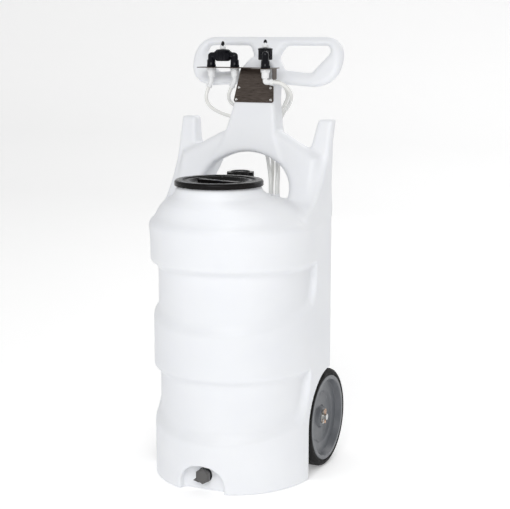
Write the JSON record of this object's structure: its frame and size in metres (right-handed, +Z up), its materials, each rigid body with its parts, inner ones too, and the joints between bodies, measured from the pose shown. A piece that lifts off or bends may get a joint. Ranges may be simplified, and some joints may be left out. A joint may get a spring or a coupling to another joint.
{
  "type": "portable waste tote",
  "caption": "Rolling upright waste tank of white moulded plastic with a leaning grip handle, rear wheels, a round lid, a drain at the foot and valves on a steel bracket",
  "frame": {"origin": "on the floor under the axis of the round tank", "axes": "-Y is the front with the drain, +X is the right seen from the front, +Z is up"},
  "size_m": [0.422, 0.4679, 1.1],
  "materials": {
    "moulding": "satin rotomoulded polyethylene",
    "lid_black": "satin moulded plastic",
    "seal": "matt rubber",
    "grey_plastic": "satin moulded plastic",
    "hub_grey": "satin moulded plastic",
    "tyre": "matt rubber",
    "zinc": "zinc plated steel",
    "pin_steel": "yellow passivated steel",
    "stainless": "brushed stainless sheet",
    "screw_steel": "bright stainless",
    "valve_black": "glossy moulded plastic",
    "fitting_white": "moulded polypropylene",
    "hose_clear": "clear soft vinyl"
  },
  "bodies": {
    "tote": {"tank_base_left": "moulding", "tank_base_right": "moulding", "tank_front_left": "moulding", "tank_front_right": "moulding", "tank_rear_left": "moulding", "tank_rear_right": "moulding", "tank_roof_left": "moulding", "tank_roof_right": "moulding", "handle_frame": "moulding", "vent_bulkhead": "lid_black", "drain_bulkhead": "grey_plastic", "drain_gasket": "seal", "drain_nut": "grey_plastic", "axle": "zinc", "axle_washers": "zinc", "axle_spacers": "hub_grey", "cotter_pins": "pin_steel", "valve_bracket": "stainless", "bracket_screws": "screw_steel", "valve_body_left": "valve_black", "valve_body_right": "valve_black", "valve_elbows_left": "valve_black", "valve_elbows_right": "valve_black", "valve_bonnet_left": "fitting_white", "valve_bonnet_right": "fitting_white", "shelf_bulkheads": "fitting_white", "bulkhead_nuts": "fitting_white", "hose_barbs": "fitting_white", "deck_fittings": "fitting_white", "hose_left_outer": "hose_clear", "hose_left_inner": "hose_clear", "hose_right_front": "hose_clear", "hose_right_rear": "hose_clear"},
    "wheel_left": {"hub_left": "hub_grey", "tyre_left": "tyre"},
    "wheel_right": {"hub_right": "hub_grey", "tyre_right": "tyre"},
    "lid_seal": {"lid_gasket": "seal"},
    "lid_cover": {"lid": "lid_black"},
    "vent_seal": {"vent_gasket": "seal"},
    "vent_cover": {"vent_cap": "lid_black"},
    "drain_stopper": {"drain_plug": "grey_plastic"},
    "left_knob": {"valve_stem_left": "valve_black"},
    "right_knob": {"valve_stem_right": "valve_black"}
  },
  "joints": [
    {"name": "left_wheel_spin", "type": "hinge", "parent": "tote", "child": "wheel_left", "pos_m": [-0.18, 0.1347, 0.127], "axis": [1, 0, 0], "continuous": true},
    {"name": "right_wheel_spin", "type": "hinge", "parent": "tote", "child": "wheel_right", "pos_m": [0.18, 0.1347, 0.127], "axis": [1, 0, 0], "continuous": true},
    {"name": "lid_lift", "type": "slide", "parent": "tote", "child": "lid_seal", "axis": [0, 0, 1], "range_m": [0, 0.3]},
    {"name": "lid_turn", "type": "hinge", "parent": "lid_seal", "child": "lid_cover", "pos_m": [0, -0.087, 0.755], "axis": [0, 0, 1], "range_deg": [0, 540]},
    {"name": "vent_lift", "type": "slide", "parent": "tote", "child": "vent_seal", "axis": [0, 0, 1], "range_m": [0, 0.03]},
    {"name": "vent_turn", "type": "hinge", "parent": "vent_seal", "child": "vent_cover", "pos_m": [-0.02, 0.08, 0.73], "axis": [0, 0, 1], "range_deg": [0, 720]},
    {"name": "drain_plug_turn", "type": "hinge", "parent": "tote", "child": "drain_stopper", "pos_m": [0, -0.185, 0.04], "axis": [0, -1, 0], "range_deg": [0, 90]},
    {"name": "left_valve_turn", "type": "hinge", "parent": "tote", "child": "left_knob", "pos_m": [-0.092, 0.13, 1.08], "axis": [0, 0, 1], "range_deg": [0, 90]},
    {"name": "right_valve_turn", "type": "hinge", "parent": "tote", "child": "right_knob", "pos_m": [0.044, 0.091, 1.08], "axis": [0, 0, 1], "range_deg": [0, 90]}
  ]
}
